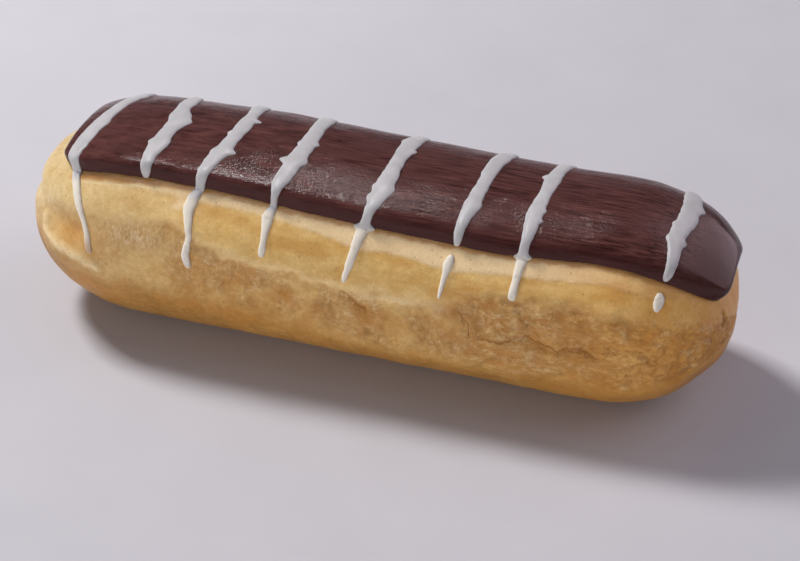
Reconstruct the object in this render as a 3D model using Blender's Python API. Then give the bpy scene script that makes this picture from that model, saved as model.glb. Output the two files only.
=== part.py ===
"""A chocolate eclair with white icing piped across it, at its real size in metres.

+X runs along the eclair, -Y faces the side that the icing drips furthest down, and +Z is up.
The origin is at the middle of the base, on the surface that the eclair rests on.

Each piece starts as a UV sphere with its poles along X. Its points then go to places on the skin
of the choux bun, which are given by the place along X, by how far they are turned from the crown
towards -Y, and by their height over the skin.
"""

import math

import bmesh
import bpy
import numpy as np
from mathutils import Matrix, Vector

MM = 0.001

# The choux bun: a straight body between rounded ends, with a section close to an ellipse.
HALF_LENGTH = 70 * MM
HALF_WIDTH = 21.3 * MM
CROWN_RISE = 17.9 * MM  # from the widest level up to the crown
BELLY_DROP = 19.4 * MM  # from the widest level down to where a round belly would end
FLAT_DEPTH = 1.2 * MM  # how much of the belly the baking tray has flattened
END_LENGTH = 26.5 * MM
END_POWER = 2.28  # 2 makes an ellipse, and more makes it squarer
SECTION_POWER = 2.26
WIDTH_TAPER = 0.03  # the share by which the left end is wider than the middle
STRAIGHT_SHARE = 0.54  # the share of the rings that lies on the straight body
BUN_RINGS = 50
BUN_SIDES = 36

# Where the bun swells, or is sunk where the height is below 0. All in millimetres:
# (centre X, Y, Z), (reach along X, Y, Z), height.
SWELLS = [
    ((-22, 0, 37), (17, 22, 12), 0.9),  # crown, left of the middle
    ((36, 0, 37), (15, 22, 12), -0.5),  # crown, right of the middle
    ((-67, -2, 29), (6, 13, 4.5), 0.8),  # shoulder of the left end
    ((-68, -6, 25), (6, 12, 1.6), -0.7),  # fold round the left end
    ((-58, -18, 24), (6, 6, 3), -1),  # hollow beside the fold
    ((-57, -19, 17), (9, 6, 2), 0.7),  # ridge under the hollow
    ((-16, -21, 21), (12, 5, 4), -0.6),  # near side, left of the middle
    ((14, -20, 11), (16, 8, 6), 0.5),  # near side, low down
    ((46, -20, 20), (13, 6, 1.8), -0.9),  # split along the near side
    ((30, -21, 25), (9, 6, 4), 0.5),  # bulge over the split
    ((-60, -8, 6), (9, 12, 4), -0.5),  # under the left end
    ((66, -10, 9), (5, 9, 5), -1),  # under the right end
    ((69, -2, 24), (4, 8, 1.8), -0.9),  # fold across the right end
    ((66, 9, 17), (7, 9, 5), -0.7),  # hollow behind the right end
    ((-30, 20, 22), (14, 6, 4), -0.7),  # far side, left of the middle
    ((8, 21, 17), (12, 6, 5), 0.6),  # far side, middle
    ((40, 20, 23), (12, 6, 3), -0.8),  # split along the far side
]

# The chocolate: a strip laid over the crown, with a firm edge and rounded corners.
CHOCOLATE_THICK = 2.5 * MM
CHOCOLATE_LEFT = -60.4 * MM
CHOCOLATE_RIGHT = 67.2 * MM
CHOCOLATE_RINGS = 44
CHOCOLATE_SIDES = 24
OUTLINE_POWERS = (20, 5)  # along and across the strip, where more makes tighter corners
EDGE_POWERS = (12, 4)  # of its section, where more makes a firmer edge
END_POWERS = (60, 4)  # of its thickness towards the ends

# How far the strip's edges are turned from the crown: (place along X in mm, degrees).
NEAR_EDGE = [(-70, 34), (-30, 34), (-8, 37.5), (10, 39.8), (28, 40.8), (50, 37.4), (60, 41), (70, 47)]
FAR_EDGE = [(-70, 36), (-32, 38), (0, 36), (34, 39), (70, 44)]

# The icing: domed stripes that come down off the strip as drips.
ICING_HEIGHT = 0.6 * MM
ICING_SIDES = 8
DROP_DEGREES = 8  # how much further round a drip has come down from the strip to the bun
END_RINGS = 8  # the rings that shape a stripe's two ends
DEGREES_A_RING = 4.2
DEGREES_A_ROUND_END = 2.5

# Each stripe's course: (degrees turned from the crown, place along X in mm, width in mm).
STRIPES = {
    "icing_stripe_1": [
        (-62, -49.5, 1.6),
        (-42, -49.8, 1.8),
        (-30, -50.3, 4.2),
        (-8, -53, 4),
        (8, -54.7, 4.3),
        (24, -56.3, 3.6),
        (36, -56.6, 2.1),
        (50, -54.8, 1.9),
        (68, -52.5, 1.5),
        (86, -51, 1.8),
    ],
    "icing_stripe_2": [
        (-36, -42.2, 1.8),
        (-20, -41.7, 3.3),
        (-8, -41.2, 3.2),
        (1, -40, 4.4),
        (8, -40.6, 3.2),
        (15, -40.8, 3.8),
        (25, -41.3, 3),
        (36, -41.6, 1.8),
    ],
    "icing_stripe_3": [
        (-70, -29.5, 1.5),
        (-44, -29, 1.8),
        (-32, -28.3, 3.6),
        (-13, -27.3, 2.6),
        (-2, -27.1, 4.3),
        (9, -27.6, 3.1),
        (17, -27.6, 4.8),
        (23, -29.1, 3.2),
        (32, -30, 2.1),
        (43, -31.3, 2.4),
        (64, -30.5, 1.3),
        (76, -30.8, 1.6),
        (83, -30.2, 1.4),
    ],
    "icing_stripe_4": [
        (-56, -15.6, 1.4),
        (-41, -15, 2),
        (-33, -14.3, 3.4),
        (-12, -13.5, 3),
        (4, -13.3, 3.4),
        (12, -14.2, 5),
        (18, -14, 3.5),
        (26, -14.6, 3.2),
        (35, -15.2, 1.4),
        (42, -15.8, 2.2),
        (56, -15.8, 1.3),
        (68, -15.9, 1.5),
    ],
    "icing_stripe_5": [
        (-78, 6.6, 1.6),
        (-56, 6.2, 1.4),
        (-41, 5.6, 2),
        (-32, 5.2, 3.2),
        (-13, 4.6, 3.8),
        (4, 4.4, 2.9),
        (18, 4.3, 4),
        (28, 3.8, 3.1),
        (36, 2.9, 1.9),
        (41, 2.3, 3.2),
        (48, 1.9, 2.5),
        (61, 1.2, 2.2),
        (74, 0.3, 1),
    ],
    "icing_stripe_6": [
        (-37, 23.2, 2),
        (-26, 22.6, 3.4),
        (-12, 21.8, 3.1),
        (4, 21.6, 2.6),
        (20, 21, 2.9),
        (32, 20.4, 2.1),
        (41, 20, 1.4),
    ],
    "icing_drip_6": [(46, 19.5, 1.2), (52, 19.3, 2), (59, 19, 1.4), (73, 18.5, 0.8)],
    "icing_stripe_7": [
        (-66, 35.2, 1.5),
        (-44, 34.6, 1.8),
        (-32, 34.2, 3),
        (-14, 33.4, 2.6),
        (-6, 33, 3.5),
        (4, 33, 2.5),
        (18, 32.6, 3),
        (30, 32.6, 2.3),
        (37, 32.3, 1.7),
        (42, 32.2, 2.7),
        (50, 32, 1.6),
        (67, 31.7, 1.6),
    ],
    "icing_stripe_8": [
        (-38, 56.4, 1.8),
        (-24, 57.2, 2.9),
        (-2, 57.8, 3.1),
        (15, 57, 2.6),
        (30, 57.4, 1.8),
        (39, 57.4, 1.3),
    ],
    "icing_drip_8": [(46, 57.1, 1), (51, 57.2, 1.8), (59, 57.1, 1.1)],
}

GAP = 0.3 * MM  # between pieces that lie on each other
CUT_MERGE = 0.01 * MM  # points closer than this to the cut along the base lie on it


def signed_power(value, power):
    return np.sign(value) * np.abs(value) ** power


def rounded(share, powers):
    """Falls from 1 in the middle to 0 at a share of -1 or 1, as a superellipse does."""
    along, across = powers
    return (1 - np.abs(share) ** along) ** (1 / across)


def through(knots, where):
    """Smooth values through rows of (place, value, ...): one array for each value."""
    rows = np.array(knots, float)
    places, values = rows[:, 0], rows[:, 1:]
    slopes = np.gradient(values, places, axis=0)
    row = np.clip(np.searchsorted(places, where) - 1, 0, len(places) - 2)
    span = (places[row + 1] - places[row])[..., None]
    share = np.clip((where - places[row])[..., None] / span, 0, 1)
    smooth = (
        values[row] * (1 + 2 * share) * (1 - share) ** 2
        + values[row + 1] * (3 - 2 * share) * share**2
        + slopes[row] * span * share * (1 - share) ** 2
        - slopes[row + 1] * span * share**2 * (1 - share)
    )
    return np.moveaxis(smooth, -1, 0)


def swell(points):
    """How far the bun stands proud of its smooth form at these points."""
    total = np.zeros(points.shape[:-1])
    for centre, reach, height in SWELLS:
        away = (points / MM - np.array(centre)) / np.array(reach)
        total += height * MM * np.exp(-(away**2).sum(-1))
    return total


def on_skin(along, turn, lift):
    """Points at a height over the bun's skin. turn is 0 at the crown and grows towards -Y."""
    beyond = np.abs(along) - (HALF_LENGTH - END_LENGTH)
    into_end = np.sign(along) * np.clip(beyond / END_LENGTH, 0, 1)
    girth = rounded(into_end, (END_POWER, END_POWER))
    side = -signed_power(np.sin(turn), 2 / SECTION_POWER)
    rise = signed_power(np.cos(turn), 2 / SECTION_POWER)
    width = HALF_WIDTH * (1 - WIDTH_TAPER * along / HALF_LENGTH)
    height = np.where(rise > 0, CROWN_RISE, BELLY_DROP)
    level = BELLY_DROP - FLAT_DEPTH
    smooth = np.stack([along, width * girth * side, level + height * girth * rise], -1)
    roundness = girth ** (END_POWER - 1)
    outward = np.stack(
        [
            signed_power(into_end, END_POWER - 1) / END_LENGTH,
            roundness * signed_power(side, SECTION_POWER - 1) / width,
            roundness * signed_power(rise, SECTION_POWER - 1) / height,
        ],
        -1,
    )
    outward /= np.linalg.norm(outward, axis=-1, keepdims=True)
    return smooth + outward * (swell(smooth) + lift)[..., None]


def ring_place(share):
    """The place along X of a ring, where rings at even shares are evenly spaced on the skin."""
    into_cap = np.clip((np.abs(share) - STRAIGHT_SHARE) / (1 - STRAIGHT_SHARE), 0, 1)
    straight = (HALF_LENGTH - END_LENGTH) * np.clip(np.abs(share) / STRAIGHT_SHARE, 0, 1)
    cap = END_LENGTH * np.sin(into_cap * math.pi / 2) ** (2 / END_POWER)
    return np.sign(share) * (straight + cap)


def ring_share(place):
    """The share whose ring is at this place on a rounded end: the inverse of ring_place."""
    into_end = (abs(place) - (HALF_LENGTH - END_LENGTH)) / END_LENGTH
    into_cap = math.asin(into_end ** (END_POWER / 2)) / (math.pi / 2)
    return math.copysign(STRAIGHT_SHARE + (1 - STRAIGHT_SHARE) * into_cap, place)


def bun_points(latitude, longitude):
    along = ring_place(latitude / (math.pi / 2))
    return on_skin(along, longitude, 0 * latitude)


def edge_turn(along, near):
    """How many degrees the strip's edge is turned from the crown, on its near or far side."""
    return np.where(near, through(NEAR_EDGE, along / MM)[0], through(FAR_EDGE, along / MM)[0])


def chocolate_points(latitude, longitude):
    """The sphere's top becomes the strip's face, and its bottom lies on the bun."""
    share = np.sin(latitude)
    first, last = ring_share(CHOCOLATE_LEFT), ring_share(CHOCOLATE_RIGHT)
    along = ring_place((first + last) / 2 + share * (last - first) / 2)
    across = np.sin(longitude)
    turn = np.radians(edge_turn(along, across > 0)) * across * rounded(share, OUTLINE_POWERS)
    thick = CHOCOLATE_THICK * rounded(across, EDGE_POWERS) * rounded(share, END_POWERS)
    return on_skin(along, turn, GAP + np.where(np.cos(longitude) > 0, thick, 0))


def bed_height(along, degrees):
    """The height that icing lies at: over the strip, and down a slope from its edge to the bun."""
    past = np.clip((np.abs(degrees) - edge_turn(along, degrees > 0)) / DROP_DEGREES, 0, 1)
    on_strip = (1 + 2 * past) * (1 - past) ** 2
    return GAP + (CHOCOLATE_THICK + GAP) * on_strip


def icing_points(course):
    """The places of a stripe's points: the sphere's poles become the two ends of its course."""
    first, last = course[0][0], course[-1][0]
    end_powers = ((last - first) / DEGREES_A_ROUND_END, 2)

    def points(latitude, longitude):
        share = (np.sin(latitude) + latitude / (math.pi / 2)) / 2
        degrees = (first + last) / 2 + share * (last - first) / 2
        place, width = through(course, degrees) * MM
        fullness = rounded(share, end_powers)
        along = place - width / 2 * fullness * np.sin(longitude)
        dome = ICING_HEIGHT * fullness * np.maximum(np.cos(longitude), 0)
        return on_skin(along, np.radians(degrees), bed_height(along, degrees) + dome)

    return points


def shaped_sphere(name, rings, sides, place_points, material):
    """A UV sphere with its poles along X, and its points moved by place_points."""
    shape = bmesh.new()
    bmesh.ops.create_uvsphere(shape, u_segments=sides, v_segments=rings, radius=1)
    bmesh.ops.rotate(shape, verts=shape.verts, matrix=Matrix.Rotation(math.pi / 2, 3, "Y"))
    unit = np.array([v.co for v in shape.verts])
    latitude = np.arcsin(np.clip(unit[:, 0], -1, 1))
    longitude = np.arctan2(-unit[:, 1], unit[:, 2])
    for vertex, point in zip(shape.verts, place_points(latitude, longitude)):
        vertex.co = point
    mesh = bpy.data.meshes.new(name)
    shape.to_mesh(mesh)
    shape.free()
    mesh.shade_smooth()
    mesh.materials.append(material)
    piece = bpy.data.objects.new(name, mesh)
    bpy.data.collections["chocolate_eclair"].objects.link(piece)
    return piece


def flatten_base(piece):
    """Cuts the piece off level at the surface it rests on."""
    shape = bmesh.new()
    shape.from_mesh(piece.data)
    everything = shape.verts[:] + shape.edges[:] + shape.faces[:]
    cut = bmesh.ops.bisect_plane(
        shape, geom=everything, dist=CUT_MERGE, plane_no=Vector((0, 0, 1)), clear_inner=True
    )
    rim = [e for e in cut["geom_cut"] if isinstance(e, bmesh.types.BMEdge)]
    bmesh.ops.edgeloop_fill(shape, edges=rim)
    shape.to_mesh(piece.data)
    shape.free()


def centre_on_base(pieces):
    """Moves all the pieces so that the middle of the whole eclair is over the origin."""
    points = np.array([v.co for piece in pieces for v in piece.data.vertices])
    middle = (points.min(0) + points.max(0)) / 2
    for piece in pieces:
        piece.data.transform(Matrix.Translation((-middle[0], -middle[1], 0)))


def make_material(name, colour, roughness):
    material = bpy.data.materials.new(name)
    material.use_nodes = True
    shader = material.node_tree.nodes["Principled BSDF"]
    shader.inputs["Base Color"].default_value = (*colour, 1)
    shader.inputs["Roughness"].default_value = roughness
    shader.inputs["Metallic"].default_value = 0
    return material


def build_eclair():
    collection = bpy.data.collections.new("chocolate_eclair")
    bpy.context.scene.collection.children.link(collection)
    choux = make_material("choux", (0.56, 0.33, 0.12), 0.55)
    chocolate = make_material("chocolate", (0.09, 0.036, 0.032), 0.35)
    icing = make_material("icing", (0.6, 0.58, 0.58), 0.3)

    bun = shaped_sphere("choux_bun", BUN_RINGS, BUN_SIDES, bun_points, choux)
    flatten_base(bun)
    strip = shaped_sphere(
        "chocolate_strip", CHOCOLATE_RINGS, CHOCOLATE_SIDES, chocolate_points, chocolate
    )
    pieces = [bun, strip]
    for name, course in STRIPES.items():
        rings = END_RINGS + round((course[-1][0] - course[0][0]) / DEGREES_A_RING)
        pieces.append(shaped_sphere(name, rings, ICING_SIDES, icing_points(course), icing))
    centre_on_base(pieces)


for leftover in list(bpy.data.objects):
    bpy.data.objects.remove(leftover)
build_eclair()
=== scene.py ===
"""The looks of a chocolate eclair with white icing piped across it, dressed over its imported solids.

+X runs along the eclair, -Y faces the camera's side, and +Z is up. A place on the skin of the bun
is given as in the solids: by the place along X, by how far it is turned from the crown towards
-Y, and by its height over the skin. Fine meshes follow the same form as the solids, and add the
relief: the torn and wrinkled band along the sides, the cracks, the firm edge of the chocolate, and
the pulled tails of the icing.
"""

import itertools
import math

import bmesh
import bpy
import numpy as np
from mathutils import Matrix, Vector


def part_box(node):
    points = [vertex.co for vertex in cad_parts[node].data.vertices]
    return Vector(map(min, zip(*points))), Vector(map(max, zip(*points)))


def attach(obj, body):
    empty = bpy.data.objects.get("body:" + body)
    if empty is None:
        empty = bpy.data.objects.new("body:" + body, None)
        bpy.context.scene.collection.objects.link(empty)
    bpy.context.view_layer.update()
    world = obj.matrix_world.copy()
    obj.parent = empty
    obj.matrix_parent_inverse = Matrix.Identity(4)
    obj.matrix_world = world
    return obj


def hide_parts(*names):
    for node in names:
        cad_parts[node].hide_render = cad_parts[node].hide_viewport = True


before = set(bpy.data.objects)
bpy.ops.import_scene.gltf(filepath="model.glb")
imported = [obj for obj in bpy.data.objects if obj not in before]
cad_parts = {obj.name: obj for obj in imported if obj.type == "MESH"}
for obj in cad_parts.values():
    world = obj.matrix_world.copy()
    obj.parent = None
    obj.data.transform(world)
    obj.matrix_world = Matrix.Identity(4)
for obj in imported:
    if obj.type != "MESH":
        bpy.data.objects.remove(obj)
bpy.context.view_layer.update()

MM = 0.001

# The choux bun's form, as in the solids.
HALF_LENGTH = 70 * MM
HALF_WIDTH = 21.3 * MM
CROWN_RISE = 17.9 * MM
BELLY_DROP = 19.4 * MM
FLAT_DEPTH = 1.2 * MM
END_LENGTH = 26.5 * MM
END_POWER = 2.28
SECTION_POWER = 2.26
WIDTH_TAPER = 0.03
STRAIGHT_SHARE = 0.54
BUN_RINGS = 330
BUN_SIDES = 300
BASE_ROUNDING = 0.4 * MM  # where the belly turns under to the flat base

# Where the bun swells or is sunk, in millimetres: (centre X, Y, Z), (reach along X, Y, Z), height.
SWELLS = [
    ((-22, 0, 37), (17, 22, 12), 0.9),
    ((36, 0, 37), (15, 22, 12), -0.5),
    ((-67, -2, 29), (6, 13, 4.5), 0.8),
    ((-68, -6, 25), (6, 12, 1.6), -0.7),
    ((-58, -18, 24), (6, 6, 3), -1),
    ((-57, -19, 17), (9, 6, 2), 0.7),
    ((-16, -21, 21), (12, 5, 4), -0.6),
    ((14, -20, 11), (16, 8, 6), 0.5),
    ((46, -20, 20), (13, 6, 1.8), -0.9),
    ((30, -21, 25), (9, 6, 4), 0.5),
    ((-60, -8, 6), (9, 12, 4), -0.5),
    ((66, -10, 9), (5, 9, 5), -1),
    ((69, -2, 24), (4, 8, 1.8), -0.9),
    ((66, 9, 17), (7, 9, 5), -0.7),
    ((-30, 20, 22), (14, 6, 4), -0.7),
    ((8, 21, 17), (12, 6, 5), 0.6),
    ((40, 20, 23), (12, 6, 3), -0.8),
]

# The rough band along each side, where the crust tore as it rose: (place along X, degrees).
BAND_TOP = [
    (-70, 64),
    (-58, 60),
    (-47, 62),
    (-35, 59),
    (-28, 68),
    (-16, 74),
    (-4, 77),
    (4, 80),
    (19, 77),
    (28, 68),
    (41, 66),
    (55, 64),
    (70, 60),
]
BAND_LOW = [(-70, 84), (-46, 92), (-16, 95), (2, 103), (25, 105), (49, 103), (70, 116)]
# The lower edge of the pale ledge beside the chocolate.
LEDGE_LOW = [
    (-70, 39),
    (-55, 41),
    (-46, 38),
    (-41, 40),
    (-29, 42),
    (-17, 43.5),
    (-8, 47),
    (4, 53),
    (10, 52),
    (16, 55),
    (30, 52.5),
    (41, 50),
    (47, 48.5),
    (56, 51),
    (64, 53),
    (70, 60),
]

# Cracks in the crust, as points (X in mm, degrees). The far side has them turned about.
CRACKS = [
    [(26.9, 91), (30.6, 92), (33.1, 89), (35, 88), (37.9, 90), (41.3, 92), (42, 90), (45.2, 89), (47.8, 92)],
    [(0.5, 81), (2.1, 84), (4.1, 89)],
    [(22.2, 79), (24.2, 86), (24.6, 90)],
    [(68.2, 52), (68.8, 64), (68.6, 76)],
]
CRACK_WIDTH = 0.5
CRACK_DEPTH = 0.35

# Ridges in the crust, or grooves below 0: points as for the cracks, width in mm, height in mm.
RIDGES = [
    ([(-67.5, -10), (-68.6, 15), (-67.9, 38), (-66.4, 46)], 0.9, -0.5),
    ([(-63.4, 74), (-63, 82), (-61.4, 87), (-58, 88.5), (-53.6, 89.5), (-49.5, 92)], 0.8, 0.45),
    ([(44, 66), (45.4, 73), (45.6, 78), (44, 83)], 0.6, -0.2),
    ([(51.5, 64), (53.6, 70), (54, 77), (52, 84), (48, 87)], 0.7, -0.25),
    ([(4, 81), (9, 79), (15, 78), (19, 79)], 0.6, 0.2),
]
# Where the ridge bounds the hollow beside the left end.
HOLLOW_LOW = [(-70, 80), (-62, 86), (-56, 88), (-49, 92), (-42, 98)]

# The chocolate strip.
GAP = 0.3 * MM
CHOCOLATE_THICK = 2.5 * MM
CHOCOLATE_LEFT = -60.4 * MM
CHOCOLATE_RIGHT = 67.2 * MM
CHOCOLATE_RINGS = 420
CHOCOLATE_SIDES = 160
LEFT_POWERS = (20, 5)
NEAR_RIGHT_POWERS = (40, 6)
FAR_RIGHT_POWERS = (14, 3.4)
NEAR_EDGE = [
    (-70, 36),
    (-54, 35.4),
    (-44, 33.4),
    (-30, 34),
    (-8, 37.5),
    (10, 39.8),
    (28, 40.8),
    (50, 37.4),
    (60, 41),
    (70, 47),
]
FAR_EDGE = [(-70, 36), (-32, 38), (0, 36), (34, 39), (70, 44)]

# The icing.
ICING_HEIGHT = 0.5 * MM
ICING_SUNK = 0.25 * MM
ICING_SIDES = 28
DEGREES_A_RING = 0.5
DEGREES_A_ROUND_END = 2.5

# Each stripe's course: (degrees turned from the crown, place along X in mm, width in mm).
STRIPES = {
    "icing_stripe_1": [
        (-62, -51, 1.6),
        (-42, -51.4, 1.8),
        (-30, -52, 3),
        (-8, -53.9, 2.9),
        (8, -55, 3.2),
        (24, -55.9, 3.1),
        (36, -56.3, 2.1),
        (50, -54.8, 1.9),
        (68, -52.5, 1.5),
        (86, -51, 1.8),
    ],
    "icing_stripe_2": [
        (-36, -42.2, 1.8),
        (-20, -41.7, 3.3),
        (-8, -41.2, 3.2),
        (1, -40, 4.4),
        (8, -40.6, 3.2),
        (15, -40.8, 3.8),
        (24, -41.3, 2.9),
        (33.5, -41.5, 1.9),
    ],
    "icing_stripe_3": [
        (-70, -29.5, 1.5),
        (-44, -29, 1.8),
        (-32, -28.3, 3.6),
        (-13, -27.3, 2.6),
        (-2, -27.1, 3.3),
        (9, -27.6, 3.1),
        (17, -28.2, 3.6),
        (23, -29.1, 3.2),
        (32, -30, 2.1),
        (43, -31.3, 2.4),
        (64, -30.5, 1.3),
        (76, -30.8, 1.6),
        (83, -30.2, 1.4),
    ],
    "icing_stripe_4": [
        (-56, -15.6, 1.4),
        (-41, -15, 2),
        (-33, -14.3, 3.4),
        (-12, -13.5, 3),
        (4, -13.3, 3.4),
        (12, -13.7, 3.6),
        (18, -14, 3.5),
        (26, -14.6, 3.2),
        (35, -15.2, 1.4),
        (42, -15.8, 2.2),
        (56, -15.8, 1.3),
        (68, -15.9, 1.5),
    ],
    "icing_stripe_5": [
        (-78, 6.6, 1.6),
        (-56, 6.2, 1.4),
        (-41, 5.6, 2),
        (-32, 5.2, 3.2),
        (-13, 4.6, 3.6),
        (4, 4.4, 2.9),
        (18, 4.3, 3.8),
        (28, 3.8, 3.1),
        (36, 2.9, 1.9),
        (41, 2.3, 2.4),
        (48, 1.9, 1.9),
        (61, 1.2, 1.6),
        (74, 0.3, 1),
    ],
    "icing_stripe_6": [
        (-37, 23.2, 2),
        (-26, 22.6, 3.4),
        (-12, 21.8, 3.1),
        (4, 21.6, 2.6),
        (20, 21, 2.9),
        (32, 20.4, 2.1),
        (41, 20, 1.4),
    ],
    "icing_drip_6": [(46, 19.5, 1.2), (51, 19.3, 1.8), (59, 19, 1.2), (73, 18.5, 0.7)],
    "icing_stripe_7": [
        (-66, 35.2, 1.5),
        (-44, 34.6, 1.8),
        (-32, 34.2, 3),
        (-14, 33.4, 2.6),
        (-6, 33.2, 3),
        (4, 33, 2.5),
        (18, 32.6, 3),
        (30, 32.6, 2.3),
        (37, 32.3, 1.7),
        (42, 32.2, 2),
        (50, 32, 1.6),
        (67, 31.7, 1.6),
    ],
    "icing_stripe_8": [
        (-38, 56.4, 1.8),
        (-24, 57.2, 2.9),
        (-2, 57.8, 3.1),
        (15, 57, 2.6),
        (30, 57.4, 1.8),
        (39, 57.4, 1.3),
    ],
    "icing_drip_8": [(46, 57.1, 1), (51, 57.2, 1.8), (59, 57.1, 1.1)],
}

# The tails pulled out of a stripe's sides: (degrees turned, side along X, reach in mm, spread in degrees).
TAILS = {
    "icing_stripe_1": [(6, 1, 0.4, 2), (-22, 1, 0.4, 2.7)],
    "icing_stripe_2": [(-3, -1, 0.4, 2.7), (-5, 1, 0.4, 2.7), (0, 1, 0.6, 1.6), (15.5, -1, 0.4, 1.4)],
    "icing_stripe_3": [(-7, 1, 1.3, 1.4), (3, -1, 0.5, 1.4), (15.7, 1, 1.1, 1.6), (15.8, -1, 0.3, 1.4)],
    "icing_stripe_4": [(2, -1, 0.4, 1.2), (14, -1, 1.2, 1.6), (1, 1, 0.5, 1.2), (13.5, 1, 0.7, 2.4)],
    "icing_stripe_5": [
        (-17, -1, 0.4, 2.7),
        (-7, 1, 0.6, 1.5),
        (19, -1, 0.3, 1.6),
        (26, -1, 0.4, 2.2),
        (21, 1, 0.4, 2.7),
        (39.6, -1, 0.9, 1.4),
        (39.8, 1, 1, 1.4),
    ],
    "icing_stripe_6": [(-1, -1, 0.3, 1.6), (21, 1, 0.4, 3.4), (-15, 1, 0.2, 2.7)],
    "icing_stripe_7": [(-7, -1, 0.7, 1.5), (15.5, 1, 0.4, 1.4), (22, 1, 0.4, 1.4), (40.5, -1, 0.7, 1.2), (40, 1, 0.7, 1.2)],
    "icing_stripe_8": [(-11, 1, 0.6, 2.7), (16, -1, 0.4, 2.2), (17, 1, 0.6, 1.9), (6, -1, 0.3, 1.6)],
}

# Where a drip thins out and the crust shows through it, in degrees.
THIN = {"icing_stripe_1": (70, 86), "icing_stripe_3": (78, 92)}

# The camera: it looks from the near side, a little from the right, and down.
CAMERA_AZIMUTH = math.radians(18)
CAMERA_ELEVATION = math.radians(35.4)
CAMERA_DISTANCE = 0.3425
CAMERA_LENS = 80
CAMERA_TARGET = Vector((0, 0, 0.020))
TARGET_RIGHT = 4.5 * MM
TARGET_UP = -7.7 * MM


def signed_power(value, power):
    return np.sign(value) * np.abs(value) ** power


def rounded(share, powers):
    """Falls from 1 in the middle to 0 at a share of -1 or 1, as a superellipse does."""
    along, across = powers
    return (1 - np.abs(share) ** along) ** (1 / across)


def ramp(value, low, high):
    """Rises smoothly from 0 at low to 1 at high."""
    share = np.clip((value - low) / (high - low), 0, 1)
    return share * share * (3 - 2 * share)


def through(knots, where):
    """Smooth values through rows of (place, value, ...): one array for each value."""
    rows = np.array(knots, float)
    places, values = rows[:, 0], rows[:, 1:]
    slopes = np.gradient(values, places, axis=0)
    row = np.clip(np.searchsorted(places, where) - 1, 0, len(places) - 2)
    span = (places[row + 1] - places[row])[..., None]
    share = np.clip((where - places[row])[..., None] / span, 0, 1)
    smooth = (
        values[row] * (1 + 2 * share) * (1 - share) ** 2
        + values[row + 1] * (3 - 2 * share) * share**2
        + slopes[row] * span * share * (1 - share) ** 2
        - slopes[row + 1] * span * share**2 * (1 - share)
    )
    return np.moveaxis(smooth, -1, 0)


random = np.random.default_rng(7)
SHUFFLED = random.permutation(256)
DIRECTIONS = random.normal(size=(256, 3))
DIRECTIONS /= np.linalg.norm(DIRECTIONS, axis=1, keepdims=True)


def noise(points, size, seed=0):
    """Smooth noise of about -1 to 1 with features of this size, at points in the same unit."""
    place = points / size + np.array([37.1, 17.3, 5.7]) * (seed + 1)
    cell = np.floor(place).astype(int)
    inside = place - cell
    fade = inside**3 * (inside * (inside * 6 - 15) + 10)
    total = 0
    for corner in itertools.product((0, 1), repeat=3):
        x, y, z = np.moveaxis(cell + corner, -1, 0) & 255
        direction = DIRECTIONS[SHUFFLED[(SHUFFLED[(SHUFFLED[x] + y) & 255] + z) & 255]]
        weight = np.where(corner, fade, 1 - fade).prod(-1)
        total = total + weight * (direction * (inside - corner)).sum(-1)
    return total * 1.7


def fractal(points, size, octaves, seed=0):
    """Noise with ever finer noise on it."""
    return sum(noise(points, size / 2**i, seed + i) / 2**i for i in range(octaves))


def swell(points):
    """How far the bun stands proud of its smooth form at these points."""
    total = np.zeros(points.shape[:-1])
    for centre, reach, height in SWELLS:
        away = (points / MM - np.array(centre)) / np.array(reach)
        total += height * MM * np.exp(-(away**2).sum(-1))
    return total


def on_skin(along, turn, lift):
    """Points at a height over the bun's skin. turn is 0 at the crown and grows towards -Y."""
    beyond = np.abs(along) - (HALF_LENGTH - END_LENGTH)
    into_end = np.sign(along) * np.clip(beyond / END_LENGTH, 0, 1)
    girth = rounded(into_end, (END_POWER, END_POWER))
    side = -signed_power(np.sin(turn), 2 / SECTION_POWER)
    rise = signed_power(np.cos(turn), 2 / SECTION_POWER)
    width = HALF_WIDTH * (1 - WIDTH_TAPER * along / HALF_LENGTH)
    height = np.where(rise > 0, CROWN_RISE, BELLY_DROP)
    level = BELLY_DROP - FLAT_DEPTH
    smooth = np.stack([along, width * girth * side, level + height * girth * rise], -1)
    roundness = girth ** (END_POWER - 1)
    outward = np.stack(
        [
            signed_power(into_end, END_POWER - 1) / END_LENGTH,
            roundness * signed_power(side, SECTION_POWER - 1) / width,
            roundness * signed_power(rise, SECTION_POWER - 1) / height,
        ],
        -1,
    )
    outward /= np.linalg.norm(outward, axis=-1, keepdims=True)
    return smooth + outward * (swell(smooth) + lift)[..., None]


def ring_place(share):
    """The place along X of a ring, where rings at even shares are evenly spaced on the skin."""
    into_cap = np.clip((np.abs(share) - STRAIGHT_SHARE) / (1 - STRAIGHT_SHARE), 0, 1)
    straight = (HALF_LENGTH - END_LENGTH) * np.clip(np.abs(share) / STRAIGHT_SHARE, 0, 1)
    cap = END_LENGTH * np.sin(into_cap * math.pi / 2) ** (2 / END_POWER)
    return np.sign(share) * (straight + cap)


def ring_share(place):
    """The share whose ring is at this place: the inverse of ring_place."""
    straight = HALF_LENGTH - END_LENGTH
    into_end = np.clip((np.abs(place) - straight) / END_LENGTH, 0, 1)
    into_cap = np.arcsin(into_end ** (END_POWER / 2)) / (math.pi / 2)
    share = STRAIGHT_SHARE * np.clip(np.abs(place) / straight, 0, 1)
    return np.sign(place) * (share + (1 - STRAIGHT_SHARE) * into_cap)


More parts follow.
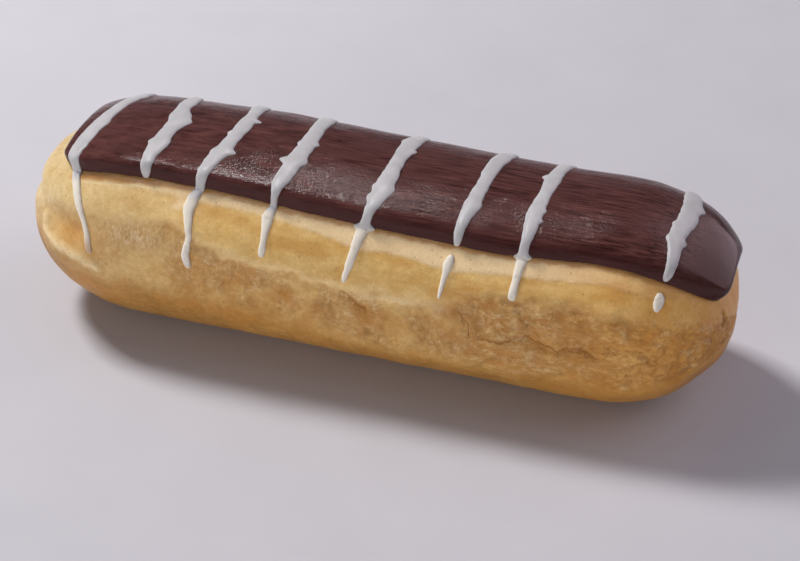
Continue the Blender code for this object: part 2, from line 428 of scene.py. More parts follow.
def near_line(points, line):
    """How far points are from a line drawn on the skin, in millimetres, below 0 on one side of it."""
    knots = np.array(line, float)
    ends = on_skin(knots[:, 0] * MM, np.radians(knots[:, 1]), np.zeros(len(knots))) / MM
    nearest = np.full(points.shape[:-1], np.inf)
    side = np.ones(points.shape[:-1])
    for start, end in zip(ends[:-1], ends[1:]):
        step = end - start
        share = np.clip((points - start) @ step / (step @ step), 0, 1)
        away = points - start - share[..., None] * step
        distance = np.linalg.norm(away, axis=-1)
        outward = (start + end) / 2 * np.array([0, 1, 1]) - np.array([0, 0, BELLY_DROP / MM])
        closer = distance < nearest
        side = np.where(closer, np.sign(away @ np.cross(step, outward)), side)
        nearest = np.where(closer, distance, nearest)
    return nearest * side


def nearest_line(points, lines):
    """How far points are from the nearest of these lines, as near_line gives it."""
    nearest = np.full(points.shape[:-1], 99.0)
    for line in lines:
        away = near_line(points, line)
        nearest = np.where(np.abs(away) < np.abs(nearest), away, nearest)
    return nearest


def wrinkles(points, size, thickness, seed):
    """Thin curved lines, about 1 in their middle, that come and go over the surface."""
    lines = np.exp(-((noise(points, size, seed) / thickness) ** 2))
    return lines * ramp(noise(points, size * 1.6, seed + 1), 0, 0.5)


def plates(points, size, seed):
    """Scattered plates of this size: 0 at a plate's edge and growing inwards, and its own tilt."""
    place = points / size + seed
    middle = np.floor(place).astype(int)
    nearest = np.full(place.shape[:-1], np.inf)
    second = nearest
    chosen = np.zeros(place.shape)
    inside = np.zeros(place.shape)
    for corner in itertools.product((-1, 0, 1), repeat=3):
        cell = middle + corner
        x, y, z = np.moveaxis(cell, -1, 0) & 255
        direction = DIRECTIONS[SHUFFLED[(SHUFFLED[(SHUFFLED[x] + y) & 255] + z) & 255]]
        away = place - cell - 0.5 - 0.45 * direction
        distance = np.linalg.norm(away, axis=-1)
        closer = distance < nearest
        second = np.where(closer, nearest, np.minimum(second, distance))
        chosen = np.where(closer[..., None], direction, chosen)
        inside = np.where(closer[..., None], away, inside)
        nearest = np.where(closer, distance, nearest)
    return second - nearest, (chosen * inside).sum(-1)


def bump_at(place, around, where, reach):
    """1 at a place along X and a turn, and falling away within a reach of each."""
    return np.exp(-(((place - where[0]) / reach[0]) ** 2) - ((around - where[1]) / reach[1]) ** 2)


def side_zones(along, degrees, near):
    """What one side's crust is like at these places: the share of each kind of surface."""
    points = on_skin(along, np.radians(degrees), np.zeros(along.shape)) / MM
    place = along / MM if near else 6 - along / MM
    around = np.abs(degrees)
    own = points if near else points * np.array([-1, -1, 1]) + np.array([6, 0, 0])
    wander = fractal(points, 7, 3, 10) * 3
    ragged = fractal(points, 2.2, 3, 14) * 2.2
    warped = own + 0.4 * np.stack([fractal(points, 2.2, 3, 20 + axis) for axis in range(3)], -1)
    top = through(BAND_TOP, place)[0]
    low = through(BAND_LOW, place)[0]
    edge = edge_turn(along, near)
    ledge_low = through(LEDGE_LOW, place)[0] + ragged * 0.4 + (edge - edge_turn(place * MM, True))
    beside = ramp(place, -59, -56.5) * (1 - ramp(place, 56, 66))
    crack = nearest_line(warped, CRACKS)
    ridge = 0
    for course, width, height in RIDGES:
        ridge = ridge + height * np.exp(-((near_line(warped, course) / width) ** 2))
    hollow = bump_at(place, around, (-56, 76), (6.5, 11))
    bound = through(HOLLOW_LOW, place)[0] + ragged * 0.3
    plate, tilt = plates(warped * np.array([0.7, 1, 1]), 4.2, 3)
    broken = ramp(place, 16, 28) * ramp(around + wander, 62, 72) * (1 - ramp(around + wander, 104, 118))
    strongly = 0.15 + 0.85 * ramp(place, -44, -26)
    below = 1 - ramp(around + wander, low - 4, low + 12)
    torn = around + ragged + wander
    fade = 3.5 + 6 * ramp(place, 14, 36)
    step = ramp(torn, top - 2.5, top + 2.5) * below * strongly
    islands = 1 - 0.6 * ramp(noise(points, 6, 95), 0, 0.5)
    islands = islands * (0.15 + 0.3 * ramp(place, -64, -52) + 0.55 * ramp(place, -40, -28))
    # shaded is a painted shadow: the band of crust just below the strip's edge, where the strip casts its shade.
    shade_reach = edge + 5.2 - 2 * ramp(place, -48, -25) + 0.4 * ramp(place, 30, 45)
    shaded = ramp(around, edge - 1, edge) * (1 - ramp(around + ragged * 0.5, shade_reach - 2, shade_reach))
    line = bump_at(0, around + ragged * 0.3, (0, shade_reach + 0.4), (1, 0.9))
    return {
        "points": points,
        "line": line * ramp(place, -59, -56) * (1 - ramp(place, -42, -34)),
        "rough": ramp(torn, top - fade, top + fade) * below * islands,
        "step": step,
        "lip": bump_at(0, torn, (0, top - 3), (1, 2.4)) * strongly * (1 - ramp(place, 10, 34)),
        "under": ramp(around + wander, low - 6, low + 16),
        "ledge": ramp(around, edge - 1, edge) * (1 - ramp(around, ledge_low - 1.2, ledge_low + 1.2)) * beside,
        "shaded": shaded * beside,
        "baked": ramp(along / MM, 30, 72),
        "crack": crack,
        "ridge": ridge,
        "hollow": hollow * (1 - ramp(around, bound - 4, bound)),
        "broken": broken,
        "plate": plate,
        "tilt": tilt,
        "wrinkle": wrinkles(points, 4.5, 0.07, 80) * (0.2 + step),
        "fibre": bump_at(place, around, (-41.5, 70), (6.5, 7)) + 0.2 * bump_at(0, around, (0, top + 2), (1, 4)),
        # left: the crust towards the left end is painted duller and darker, as painted shade that holds back the key
        # light falling on that end.
        "left": ramp(-along / MM, 20, 66) * (1 - ramp(around, 75, 115)),
        "low_left": ramp(-along / MM, 15, 50) * ramp(around, 84, 102),
        "mound": bump_at(place, around, (49.3, 73), (3, 7)),
        "spot": bump_at(place, around + ragged, (-33, 46), (2.2, 2.6)),
        "crumble": fractal(own * np.array([0.55, 1, 1.2]), 2.2, 3, 51),
        "notch": bump_at(place, around, (69, 72), (1, 12)) * 0.3,
    }


def choux_zones(along, degrees):
    """The zones of both sides, which pass softly into each other where the sides meet."""
    near = side_zones(along, degrees, True)
    far = side_zones(along, degrees, False)
    share = ramp(-near["points"][..., 1], -6, 6)
    zones = {name: far[name] + (near[name] - far[name]) * share for name in near if name != "points"}
    zones["points"] = near["points"]
    zones["crack"] = np.where(degrees > 0, near["crack"], far["crack"])
    return zones


def choux_relief(along, degrees):
    """The height of the crust's relief, in metres, and its zones."""
    zones = choux_zones(along, degrees)
    points = zones["points"]
    lumps = fractal(points, 9, 2, 30) * 0.16 - 0.15
    lumps = lumps + zones["broken"] * (fractal(points, 4.5, 2, 33) * 0.28 - 0.05)
    folds = (0.35 - np.abs(fractal(points, 5, 3, 40))) * 0.45
    crumpled = fractal(points, 2, 3, 50) * 0.15
    fine = noise(points, 1.3, 60) * 0.03
    plate = ramp(zones["plate"], 0, 0.3) * 0.25 - 0.18 + zones["tilt"] * 0.35 + zones["crumble"] * 0.14
    height = lumps + fine + zones["step"] * (crumpled + (folds - 0.3) * (1 - zones["broken"]))
    height = height + zones["broken"] * plate + zones["lip"] * 0.12 + zones["ledge"] * 0.18
    height = height + end_fullness(along / MM, degrees)
    groove = CRACK_DEPTH * np.exp(-((zones["crack"] / CRACK_WIDTH) ** 2))
    rim = 0.12 * np.exp(-(((np.abs(zones["crack"]) - 1.1) / 0.5) ** 2))
    height = height + zones["ridge"] - groove + rim - zones["hollow"] * 0.65
    height = height - zones["wrinkle"] * 0.2 - zones["notch"] * 0.6 + zones["mound"] * 0.3
    return height * MM, zones


def end_fullness(place, degrees):
    """Where the two ends bulge a little more, in mm. Their very tips stay as they are."""
    left = 0.3 * bump_at(place, degrees, (-67.4, 75), (2.6, 45))
    turned = np.cos(np.radians(degrees + 130))
    right = 0.6 * bump_at(place, 0, (67.6, 0), (2, 1)) * ramp(turned, -0.2, 0.7)
    return left + right - 0.22 * ramp(np.abs(place), 68.2, 69.4)


def edge_turn(along, near):
    """How many degrees the strip's edge is turned from the crown, on its near or far side."""
    return np.where(near, through(NEAR_EDGE, along / MM)[0], through(FAR_EDGE, along / MM)[0])


def capped(rise, firmness):
    """Follows rise up to 1 and stays there, with a firmer corner for a higher firmness."""
    return rise / (1 + rise**firmness) ** (1 / firmness)


def strip_ends():
    first, last = ring_share(np.array([CHOCOLATE_LEFT, CHOCOLATE_RIGHT]))
    return (first + last) / 2, (last - first) / 2


def strip_outline(share, across):
    """The share of its full width that the strip has at a share of its length."""
    right = np.where(across > 0, rounded(share, NEAR_RIGHT_POWERS), rounded(share, FAR_RIGHT_POWERS))
    return np.where(share > 0, right, rounded(share, LEFT_POWERS))


def strip_corner(along):
    """The share of the strip's width that its side face and its rounded corner take."""
    softness = ramp(along / MM, -30, 40)
    return 0.105 + 0.065 * softness, softness


def strip_height(along, across, share):
    """How thick the strip is, where across and share go from -1 to 1 over its width and length."""
    corner, softness = strip_corner(along)
    side = capped((1 - np.abs(across)) / corner, 5 - 2.4 * softness)
    end = capped((1 - np.abs(share)) / np.where(share > 0, 0.013, 0.022), 4)
    return CHOCOLATE_THICK * side * end


def shoulder_height(along, degrees):
    """How much the strip's face stands up on its far side near the right end, in mm."""
    tip = 0.5 * bump_at(along / MM, degrees, (60.5, -25), (5, 28))
    return tip + 0.35 * bump_at(along / MM, degrees, (51, -14), (6.5, 26))


def chocolate_points(latitude, longitude):
    """The sphere's top becomes the strip's face, and its bottom lies on the bun."""
    share = np.sin(latitude)
    middle, half = strip_ends()
    along = ring_place(middle + share * half)
    across = np.sin(longitude)
    edge = edge_turn(along, across > 0)
    place = np.stack([along, 0 * along, 0 * along], -1) / MM
    edge = edge + np.where(across > 0, 1, -1) * noise(place, 7, 3) * 0.5 + noise(place, 2.5, 5) * 0.15
    turn = np.radians(edge) * across * strip_outline(share, across)
    smooth = on_skin(along, turn, 0 * along) / MM
    waves = fractal(smooth, 11, 2, 70) * 0.13 + noise(smooth, 2.6, 73) * 0.025
    streaks = noise(smooth * np.array([0.09, 1, 1]), 0.9, 75) * 0.02
    thick = strip_height(along, across, share)
    corner, softness = strip_corner(along)
    down_side = (1 - np.abs(across)) / corner + noise(place, 9, 76) * 0.12
    runs = np.exp(-(((down_side - 0.45) / 0.13) ** 2)) * ramp(noise(place, 6, 77), -0.4, 0.2) * (1 - softness)
    blister = 0.17 * bump_at(along / MM, np.degrees(turn), (27, 11), (1.8, 3.2))
    raised = waves + streaks + runs * 0.14 + blister + shoulder_height(along, np.degrees(turn))
    face = GAP + thick + raised * MM * thick / CHOCOLATE_THICK
    under = -0.3 * MM + (GAP + 0.3 * MM) * ramp(np.maximum(np.abs(across), np.abs(share)), 0.94, 1)
    lift = np.where(np.cos(longitude) > 0, face, under)
    return on_skin(along, turn, lift)


def bed_lift(along, degrees):
    """The height of the surface that the icing lies on."""
    middle, half = strip_ends()
    share = np.clip((ring_share(along) - middle) / half, -1, 1)
    edge = edge_turn(along, degrees > 0) * strip_outline(share, degrees)
    rise = 1 + shoulder_height(along, degrees) * MM / CHOCOLATE_THICK
    total = 0
    for offset in (-1.2, -0.6, 0, 0.6, 1.2):
        across = np.clip((np.abs(degrees) + offset) / edge, 0, 1)
        total = total + strip_height(along, across, share) * rise + GAP * (across < 1)
    return total / 5


def icing_points(name, course):
    """The places of a stripe's points: the sphere's poles become the two ends of its course."""
    first, last = course[0][0], course[-1][0]
    end_powers = ((last - first) / DEGREES_A_ROUND_END, 2)
    seed = sum(map(ord, name))

    def bed(along, degrees, relief=0):
        return on_skin(along, np.radians(degrees), bed_lift(along, degrees) + relief)

    def points(latitude, longitude):
        share = (np.sin(latitude) + latitude / (math.pi / 2)) / 2
        degrees = (first + last) / 2 + share * (last - first) / 2
        place, width = through(course, degrees)
        fullness = rounded(share, end_powers)
        centre = np.stack([degrees * 0.35, 0 * degrees, 0 * degrees], -1)
        left = width / 2 * (1 + 0.11 * fractal(centre, 1.6, 3, seed + 1))
        right = width / 2 * (1 + 0.11 * fractal(centre, 1.6, 3, seed + 2))
        for turned, side, reach, spread in TAILS.get(name, []):
            tail = reach * np.exp(-(np.abs((degrees - turned) / spread) ** 2.5))
            if side > 0:
                right = right + tail
            else:
                left = left + tail
        across = -np.sin(longitude)
        along = (place + fullness * np.where(across > 0, right, left) * across) * MM
        core = np.abs(across) * np.where(across > 0, right, left) / (width / 2)
        dome = ICING_HEIGHT * fullness * np.sqrt(np.clip(1 - np.abs(across) ** 2.4, 0, 1))
        dome = dome * (1 - 0.5 * ramp(core, 0.9, 1.8)) * (1 + 0.1 * noise(centre, 3, seed + 5))
        relief = choux_relief(along, degrees)[0] * ramp(np.abs(degrees), 36, 46)
        base = bed(along, degrees, relief)
        step_along = bed(along + 0.1 * MM, degrees) - bed(along - 0.1 * MM, degrees)
        step_down = bed(along, degrees + 0.3) - bed(along, degrees - 0.3)
        outward = np.cross(step_down, step_along)
        outward /= np.linalg.norm(outward, axis=-1, keepdims=True)
        lift = np.where(np.cos(longitude) > 0, dome, -ICING_SUNK * fullness * np.abs(np.cos(longitude)))
        return base + outward * lift[..., None]

    return points


def shaped_sphere(name, rings, sides, place_points, material):
    """A UV sphere with its poles along X, and its points moved by place_points."""
    shape = bmesh.new()
    bmesh.ops.create_uvsphere(shape, u_segments=sides, v_segments=rings, radius=1)
    bmesh.ops.rotate(shape, verts=shape.verts, matrix=Matrix.Rotation(math.pi / 2, 3, "Y"))
    mesh = bpy.data.meshes.new(name)
    shape.to_mesh(mesh)
    shape.free()
    unit = np.empty(len(mesh.vertices) * 3)
    mesh.vertices.foreach_get("co", unit)
    unit = unit.reshape(-1, 3)
    latitude = np.arcsin(np.clip(unit[:, 0], -1, 1))
    longitude = np.arctan2(-unit[:, 1], unit[:, 2])
    mesh.vertices.foreach_set("co", (place_points(latitude, longitude) + form_shift).ravel())
    mesh.update()
    mesh.shade_smooth()
    mesh.materials.append(material)
    piece = bpy.data.objects.new(name, mesh)
    bpy.context.scene.collection.objects.link(piece)
    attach(piece, "root")
    return piece, latitude, longitude


def find_shift():
    """How far the solids are moved from the form's own place, so that they stand over the origin."""
    share, turn = np.meshgrid(np.linspace(-1, 1, 200), np.linspace(-math.pi, math.pi, 180))
    form = on_skin(ring_place(share), turn, 0 * share).reshape(-1, 3)
    middle = (form.min(0) + form.max(0)) / 2
    low, high = (np.array(corner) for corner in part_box("choux_bun"))
    shift = (low + high) / 2 - middle
    shift[2] = 0
    return shift


form_shift = find_shift()


def add_node(tree, kind, inputs, **settings):
    """Adds a shader node. An input is a value, or the output socket that is linked to it."""
    node = tree.nodes.new(kind)
    for name, value in settings.items():
        setattr(node, name, value)
    for name, value in inputs.items():
        socket = node.inputs[name]
        if isinstance(value, bpy.types.NodeSocket):
            tree.links.new(value, socket)
        else:
            socket.default_value = value
    return node


def mix(tree, share, first, second, blend="MIX"):
    """Blends two colours by a share."""
    node = tree.nodes.new("ShaderNodeMix")
    node.data_type = "RGBA"
    node.blend_type = blend
    for index, value in ((0, share), (6, first), (7, second)):
        if isinstance(value, bpy.types.NodeSocket):
            tree.links.new(value, node.inputs[index])
        elif index:
            node.inputs[index].default_value = (*value, 1)
        else:
            node.inputs[index].default_value = value
    return node.outputs[2]


def math_node(tree, operation, first, second=0.0):
    node = add_node(tree, "ShaderNodeMath", {0: first, 1: second}, operation=operation)
    return node.outputs[0]


def map_range(tree, value, low, high, to_low=0.0, to_high=1.0):
    inputs = {"Value": value, "From Min": low, "From Max": high, "To Min": to_low, "To Max": to_high}
    return add_node(tree, "ShaderNodeMapRange", inputs).outputs[0]


def attribute(tree, name):
    return add_node(tree, "ShaderNodeAttribute", {}, attribute_name=name).outputs["Fac"]


def object_place(tree):
    return add_node(tree, "ShaderNodeTexCoord", {}).outputs["Object"]


def texture(tree, size, detail=2.0, stretch=(1, 1, 1), roughness=0.5):
    """Noise from 0 to 1 with features of this size in metres, drawn out along an axis by stretch."""
    scale = tuple(1 / (size * along) for along in stretch)
    placed = add_node(tree, "ShaderNodeMapping", {"Vector": object_place(tree), "Scale": scale}).outputs[0]
    inputs = {"Vector": placed, "Scale": 1, "Detail": detail, "Roughness": roughness}
    return add_node(tree, "ShaderNodeTexNoise", inputs).outputs["Fac"]


def new_material(name):
    material = bpy.data.materials.new(name)
    material.use_nodes = True
    return material, material.node_tree, material.node_tree.nodes["Principled BSDF"]


def link(tree, source, shader, name):
    tree.links.new(source, shader.inputs[name])


def bump(tree, shader, height, distance, strength=1.0):
    inputs = {"Height": height, "Distance": distance, "Strength": strength}
    link(tree, add_node(tree, "ShaderNodeBump", inputs).outputs[0], shader, "Normal")


def scaled(tree, colour, factor):
    inputs = {0: colour, "Scale": factor}
    return add_node(tree, "ShaderNodeVectorMath", inputs, operation="SCALE").outputs[0]


def lines_of(tree, size, detail, thickness):
    """Thin lines where a noise crosses its middle: 1 on a line, and 0 away from it."""
    away = math_node(tree, "ABSOLUTE", math_node(tree, "SUBTRACT", texture(tree, size, detail), 0.5))
    return map_range(tree, away, 0, thickness, 1, 0)


def crack_lines(tree):
    """Thin ragged lines along the cracks, from how far a point is from them."""
    ragged = math_node(tree, "MULTIPLY", math_node(tree, "SUBTRACT", texture(tree, 0.9 * MM, 4), 0.5), 1.8)
    side = math_node(tree, "ADD", attribute(tree, "crack_side"), ragged)
    thickness = map_range(tree, texture(tree, 2.5 * MM, 2), 0.38, 0.62, 0.08, 0.75)
    away = math_node(tree, "DIVIDE", math_node(tree, "ABSOLUTE", side), thickness)
    line = map_range(tree, away, 0.15, 1, 1, 0)
    return math_node(tree, "MULTIPLY", line, map_range(tree, attribute(tree, "crack_near"), 0.5, 1, 1, 0))


def flakes(tree):
    """The edges of small plates, which come and go."""
    bend = add_node(tree, "ShaderNodeTexNoise", {"Vector": object_place(tree), "Scale": 1 / (1.5 * MM)})
    bent = scaled(tree, bend.outputs["Color"], 1.2 * MM)
    place = add_node(tree, "ShaderNodeVectorMath", {0: object_place(tree), 1: bent}, operation="ADD").outputs[0]
    inputs = {"Vector": place, "Scale": 1 / (3.2 * MM)}
    cells = add_node(tree, "ShaderNodeTexVoronoi", inputs, feature="DISTANCE_TO_EDGE")
    edge = map_range(tree, cells.outputs["Distance"], 0.015, 0.06, 1, 0)
    return math_node(tree, "MULTIPLY", edge, map_range(tree, texture(tree, 4 * MM, 2), 0.45, 0.6))


def choux_material():
    """Baked choux: cream and gold above, a duller torn band, and orange brown below."""
    material, tree, shader = new_material("choux")
    rough = attribute(tree, "rough")
    mottle = texture(tree, 4 * MM, 5, roughness=0.6)
    grain = texture(tree, 0.45 * MM, 3)
    shade = map_range(tree, math_node(tree, "ADD", mottle, texture(tree, 1.1 * MM, 3)), 0.7, 1.3)
    gold = mix(tree, shade, (0.66, 0.405, 0.13), (0.79, 0.53, 0.215))
    browned = map_range(tree, texture(tree, 4.5 * MM, 4, (2.6, 1, 1)), 0.47, 0.62, 0, 0.8)
    gold = mix(tree, browned, gold, (0.58, 0.31, 0.085))
    # Towards the left end the gold is painted duller and darker: painted shade against the key light there.
    shaded_left_gold = mix(tree, shade, (0.57, 0.395, 0.17), (0.69, 0.53, 0.29))
    gold = mix(tree, attribute(tree, "left"), gold, shaded_left_gold)
    above = mix(tree, attribute(tree, "cream"), gold, (0.86, 0.67, 0.42))
    torn = mix(tree, shade, (0.36, 0.18, 0.055), (0.6, 0.355, 0.13))
    net = map_range(tree, mottle, 0.42, 0.58, 0, 0.5)
    net = math_node(tree, "MULTIPLY", net, map_range(tree, attribute(tree, "baked"), 0, 1, 1, 0.3))
    net = math_node(tree, "MULTIPLY", lines_of(tree, 1.8 * MM, 3, 0.05), net)
    torn = mix(tree, net, torn, (0.76, 0.57, 0.34))
    colour = mix(tree, rough, above, torn)
    under = mix(tree, shade, (0.37, 0.17, 0.035), (0.54, 0.28, 0.074))
    colour = mix(tree, attribute(tree, "under"), colour, under)
    colour = scaled(tree, colour, map_range(tree, attribute(tree, "low_left"), 0, 1, 1, 0.84))
    patches = map_range(tree, texture(tree, 4.5 * MM, 4), 0.5, 0.66, 0, 0.5)
    baked = math_node(tree, "ADD", rough, attribute(tree, "under"))
    baked = math_node(tree, "MULTIPLY", patches, math_node(tree, "ADD", baked, attribute(tree, "baked")))
    colour = mix(tree, baked, colour, (0.5, 0.22, 0.045))
    colour = mix(tree, math_node(tree, "MULTIPLY", attribute(tree, "baked"), 0.55), colour, (0.76, 0.34, 0.055))
    fibres = map_range(tree, texture(tree, 0.4 * MM, 2, (1, 1, 6)), 0.42, 0.62)
    fibres = math_node(tree, "MULTIPLY", fibres, attribute(tree, "fibre"))
    colour = mix(tree, math_node(tree, "MULTIPLY", attribute(tree, "fibre"), 0.25), colour, (0.46, 0.27, 0.12))
    colour = mix(tree, math_node(tree, "MULTIPLY", fibres, 0.75), colour, (0.74, 0.56, 0.34))
    colour = mix(tree, attribute(tree, "pale"), colour, (0.9, 0.72, 0.44))
    crumbs = map_range(tree, texture(tree, 0.7 * MM, 4, (1.8, 1, 1)), 0.42, 0.6, 0, 0.62)
    crumbs = math_node(tree, "MULTIPLY", crumbs, attribute(tree, "broken"))
    colour = mix(tree, crumbs, colour, (0.42, 0.185, 0.045))
    chips = math_node(tree, "MULTIPLY", flakes(tree), attribute(tree, "broken"))
    colour = mix(tree, math_node(tree, "MULTIPLY", chips, 0.25), colour, (0.5, 0.23, 0.055))
    # Painted shade: darker orange brown in the creases, low crumbs, wrinkles and the hollow.
    colour = mix(tree, attribute(tree, "groove"), colour, (0.5, 0.22, 0.05))
    # Painted shadow of the chocolate strip on the crust just below its edge.
    colour = mix(tree, attribute(tree, "shaded"), colour, (0.52, 0.24, 0.07))
    # The dark lines along the cracks are painted shade inside them.
    cracks = crack_lines(tree)
    colour = mix(tree, math_node(tree, "MULTIPLY", cracks, 0.5), colour, (0.34, 0.125, 0.025))
    pores = add_node(tree, "ShaderNodeTexVoronoi", {"Vector": object_place(tree), "Scale": 1 / (1.5 * MM)})
    dots = map_range(tree, pores.outputs["Distance"], 0.03, 0.16, 0.6, 0)
    dots = math_node(tree, "MULTIPLY", dots, map_range(tree, texture(tree, 3.5 * MM, 3), 0.36, 0.54))
    colour = mix(tree, dots, colour, (0.3, 0.13, 0.03))
    colour = scaled(tree, colour, map_range(tree, grain, 0.3, 0.7, 0.93, 1.06))
    link(tree, colour, shader, "Base Color")
    link(tree, map_range(tree, rough, 0, 1, 0.42, 0.6), shader, "Roughness")
    shader.inputs["Specular IOR Level"].default_value = 0.3
    height = math_node(tree, "SUBTRACT", math_node(tree, "MULTIPLY", grain, 0.6), dots)
    height = math_node(tree, "ADD", height, math_node(tree, "MULTIPLY", mottle, 2.0))
    height = math_node(tree, "ADD", height, math_node(tree, "MULTIPLY", fibres, 0.8))
    height = math_node(tree, "SUBTRACT", height, math_node(tree, "MULTIPLY", cracks, 2.0))
    height = math_node(tree, "SUBTRACT", height, math_node(tree, "MULTIPLY", chips, 0.7))
    height = math_node(tree, "SUBTRACT", height, math_node(tree, "MULTIPLY", crumbs, 1.5))
    bump(tree, shader, height, 0.07 * MM)
    return material


def chocolate_material():
    """Set chocolate, satin, with fine streaks along its length."""
    material, tree, shader = new_material("chocolate")
    lengthwise = texture(tree, 0.5 * MM, 5, (14, 1, 1), 0.65)
    speckle = texture(tree, 0.4 * MM, 3, (1.6, 1, 1))
    blotches = texture(tree, 1.5 * MM, 5, (3, 1, 1), 0.65)
    streak = add_node(tree, "ShaderNodeMix", {0: attribute(tree, "streaky"), 2: blotches, 3: lengthwise}).outputs[0]
    broad = texture(tree, 5 * MM, 2, (2, 1, 1))
    colour = mix(tree, map_range(tree, streak, 0.37, 0.63), (0.03, 0.0085, 0.0075), (0.125, 0.046, 0.04))
    colour = mix(tree, map_range(tree, broad, 0.4, 0.65, 0, 0.5), colour, (0.1, 0.038, 0.035))
    smooth = map_range(tree, attribute(tree, "uneven"), 0.1, 1, 0.85, 0)
    colour = mix(tree, smooth, colour, (0.07, 0.024, 0.0215))
    # The strip's side faces are painted darker: painted shade, as little light reaches them.
    colour = mix(tree, attribute(tree, "side"), colour, (0.045, 0.0115, 0.01))
    link(tree, colour, shader, "Base Color")
    link(tree, map_range(tree, broad, 0.3, 0.7, 0.11, 0.19), shader, "Roughness")
    shader.inputs["Specular IOR Level"].default_value = 0.22
    height = math_node(tree, "ADD", streak, math_node(tree, "MULTIPLY", speckle, 1.2))
    height = math_node(tree, "ADD", height, math_node(tree, "MULTIPLY", texture(tree, 2.6 * MM, 2, (1.6, 1, 1)), 2.2))
    height = math_node(tree, "MULTIPLY", height, attribute(tree, "uneven"))
    bump(tree, shader, height, 0.06 * MM)
    return material


def icing_material():
    """Set white icing."""
    material, tree, shader = new_material("icing")
    cloud = texture(tree, 2.5 * MM, 3)
    colour = mix(tree, map_range(tree, cloud, 0.3, 0.7), (0.47, 0.46, 0.465), (0.545, 0.53, 0.54))
    colour = mix(tree, attribute(tree, "on_choux"), colour, (0.76, 0.7, 0.61))
    colour = mix(tree, attribute(tree, "thin"), colour, (0.52, 0.36, 0.24))
    link(tree, colour, shader, "Base Color")
    shader.inputs["Roughness"].default_value = 0.32
    shader.inputs["Subsurface Weight"].default_value = 0.5
    shader.inputs["Subsurface Scale"].default_value = 0.5 * MM
    shader.inputs["Subsurface Radius"].default_value = (1, 0.9, 0.8)
    shader.inputs["Specular IOR Level"].default_value = 0.4
    bump(tree, shader, texture(tree, 0.8 * MM, 2), 0.03 * MM)
    return material


def floor_material():
    """A pale surface with the faintest grain."""
    material, tree, shader = new_material("pale_floor")
    grain = texture(tree, 20 * MM, 3)
    colour = mix(tree, map_range(tree, grain, 0.3, 0.7), (0.55, 0.54, 0.575), (0.57, 0.56, 0.595))
    link(tree, colour, shader, "Base Color")
    shader.inputs["Roughness"].default_value = 0.7
    return material


def mark(piece, name, values):
    """Gives each point of a piece a value that its material reads."""
    layer = piece.data.attributes.new(name, "FLOAT", "POINT")
    layer.data.foreach_set("value", values)


def make_choux():
    zones = {}

    def bun_points(latitude, longitude):
        along = ring_place(latitude / (math.pi / 2))
        relief, found = choux_relief(along, np.degrees(longitude))
        zones.update(found)
        points = on_skin(along, longitude, relief)
        height = points[..., 2]
        points[..., 2] = (height + np.sqrt(height**2 + BASE_ROUNDING**2)) / 2
        return points

    piece = shaped_sphere("choux_crust", BUN_RINGS, BUN_SIDES, bun_points, choux_material())[0]
    rims = np.exp(-(((zones["plate"] - 0.17) / 0.06) ** 2)) * ramp(noise(zones["points"], 4, 90), 0, 0.4)
    creases = np.exp(-((zones["plate"] / 0.06) ** 2)) * ramp(noise(zones["points"], 5, 91), -0.2, 0.3)
    high = ramp(zones["crumble"], 0.25, 0.9)
    deep = ramp(-zones["crumble"], 0.1, 0.8)
    pale = zones["ridge"] * 1.4 + zones["broken"] * (rims * 0.2 + high * 0.3) + zones["lip"] * 0.25
    pale = pale + zones["line"] * 0.45
    cream = zones["ledge"] * (1 - zones["baked"]) * 0.65 * (1 - zones["left"]) + zones["spot"] * 0.7
    # groove is painted shade in the creases between plates, in the low crumbs and in the wrinkles.
    groove = zones["broken"] * (creases * 0.4 + deep * 0.4) + zones["wrinkle"] * 0.5
    mark(piece, "rough", zones["rough"])
    mark(piece, "under", zones["under"])
    mark(piece, "baked", zones["baked"])
    # In the hollow the cream and the left end's colour give way to the groove's painted shade.
    mark(piece, "cream", np.clip(cream - zones["hollow"], 0, 1))
    mark(piece, "left", zones["left"] * (1 - zones["hollow"]))
    mark(piece, "low_left", zones["low_left"])
    mark(piece, "pale", np.clip(pale, 0, 1))
    mark(piece, "groove", np.clip(groove + zones["hollow"] * 0.4, 0, 1))
    # The strip's painted shadow on the crust below its edge.
    mark(piece, "shaded", zones["shaded"] * 0.88)
    mark(piece, "broken", zones["broken"])
    mark(piece, "fibre", np.clip(zones["fibre"], 0, 1))
    mark(piece, "crack_side", np.clip(zones["crack"], -3, 3))
    mark(piece, "crack_near", np.abs(np.clip(zones["crack"], -3, 3)))
    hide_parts("choux_bun")


def make_chocolate():
    piece, latitude, longitude = shaped_sphere(
        "chocolate_glaze", CHOCOLATE_RINGS, CHOCOLATE_SIDES, chocolate_points, chocolate_material()
    )
    middle, half = strip_ends()
    along = ring_place(middle + np.sin(latitude) * half)
    corner = strip_corner(along)[0]
    # side marks the strip's side faces, which get painted shade.
    mark(piece, "side", 0.75 * (1 - ramp(1 - np.abs(np.sin(longitude)), corner * 0.6, corner * 1.3)))
    mark(piece, "streaky", 0.35 + 0.65 * ramp(along / MM, -20, 20))
    mark(piece, "uneven", 1 - 0.92 * ramp(along / MM, 58, 63))
    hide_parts("chocolate_strip")


def make_icing():
    material = icing_material()
    for name, course in STRIPES.items():
        rings = 16 + round((course[-1][0] - course[0][0]) / DEGREES_A_RING)
        label = name.replace("icing", "piped")
        piece, latitude, longitude = shaped_sphere(label, rings, ICING_SIDES, icing_points(name, course), material)
        share = (np.sin(latitude) + latitude / (math.pi / 2)) / 2
        degrees = (course[0][0] + course[-1][0]) / 2 + share * (course[-1][0] - course[0][0]) / 2
        mark(piece, "on_choux", ramp(np.abs(degrees), 38, 43))
        mark(piece, "thin", ramp(degrees, *THIN.get(name, (180, 181))))
        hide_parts(name)


def make_floor():
    shape = bmesh.new()
    bmesh.ops.create_grid(shape, x_segments=8, y_segments=8, size=2)
    mesh = bpy.data.meshes.new("floor")
    shape.to_mesh(mesh)
    shape.free()
    mesh.materials.append(floor_material())
    floor = bpy.data.objects.new("floor", mesh)
    bpy.context.scene.collection.objects.link(floor)


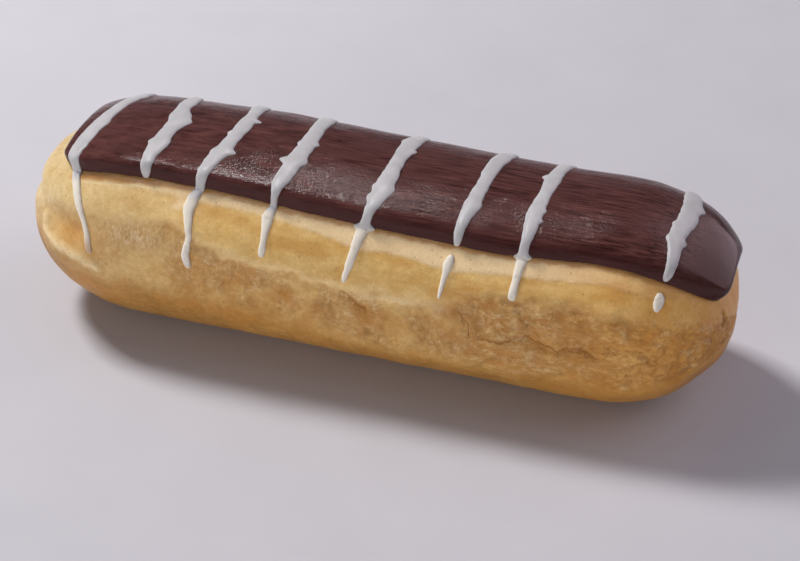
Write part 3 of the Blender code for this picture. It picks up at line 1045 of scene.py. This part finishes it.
def make_camera():
    azimuth, elevation = CAMERA_AZIMUTH, CAMERA_ELEVATION
    back = Vector(
        (
            math.sin(azimuth) * math.cos(elevation),
            -math.cos(azimuth) * math.cos(elevation),
            math.sin(elevation),
        )
    )
    right = Vector((math.cos(azimuth), math.sin(azimuth), 0))
    up = back.cross(right)
    data = bpy.data.cameras.new("camera")
    data.lens = CAMERA_LENS
    data.sensor_width = 36
    data.clip_start = 0.01
    camera = bpy.data.objects.new("camera", data)
    place = CAMERA_TARGET + right * TARGET_RIGHT + up * TARGET_UP + back * CAMERA_DISTANCE
    camera.matrix_world = Matrix.Translation(place) @ Matrix((right, up, back)).transposed().to_4x4()
    bpy.context.scene.collection.objects.link(camera)
    bpy.context.scene.camera = camera


def add_softbox(name, direction, distance, size, power, colour, shines=True, lights=True):
    """A soft light that faces the eclair. It can be kept out of reflections, or be only in them."""
    data = bpy.data.lights.new(name, "AREA")
    data.shape = "RECTANGLE"
    data.size, data.size_y = size
    data.energy = power
    data.color = colour
    light = bpy.data.objects.new(name, data)
    towards = Vector(direction).normalized()
    light.location = towards * distance + Vector((0, 0, 0.02))
    light.rotation_euler = towards.to_track_quat("Z", "Y").to_euler()
    light.visible_glossy = shines
    light.visible_diffuse = lights
    bpy.context.scene.collection.objects.link(light)


def make_lights():
    world = bpy.data.worlds.new("studio")
    world.use_nodes = True
    background = world.node_tree.nodes["Background"]
    background.inputs["Color"].default_value = (0.84, 0.87, 1.05, 1)
    background.inputs["Strength"].default_value = 0.125
    bpy.context.scene.world = world
    add_softbox("key", (-0.6, 0.26, 0.75), 0.9, (0.2, 0.2), 8.2, (1, 0.98, 0.97), shines=False)
    add_softbox("top", (-0.24, 0.36, 0.9), 0.8, (0.05, 0.05), 0.65, (1, 0.95, 0.95), lights=False)
    add_softbox("shoulder", (-0.36, 0, 0.93), 0.8, (0.1, 0.04), 1.7, (1, 0.97, 0.97), lights=False)
    add_softbox("front", (-0.3, -0.93, 0.14), 0.7, (0.45, 0.16), 2.38, (1, 0.99, 0.98), shines=False)
    add_softbox("end", (0.68, 0.42, 0.5), 1.0, (0.9, 0.9), 2.6, (0.97, 0.9, 1), shines=False)
    add_softbox("sheen", (0.68, 0.42, 0.5), 1.02, (1.3, 1.3), 9.6, (1, 0.77, 0.86), lights=False)
    bpy.context.scene.view_settings.view_transform = "Standard"


make_choux()
make_chocolate()
make_icing()
make_floor()
make_camera()
make_lights()
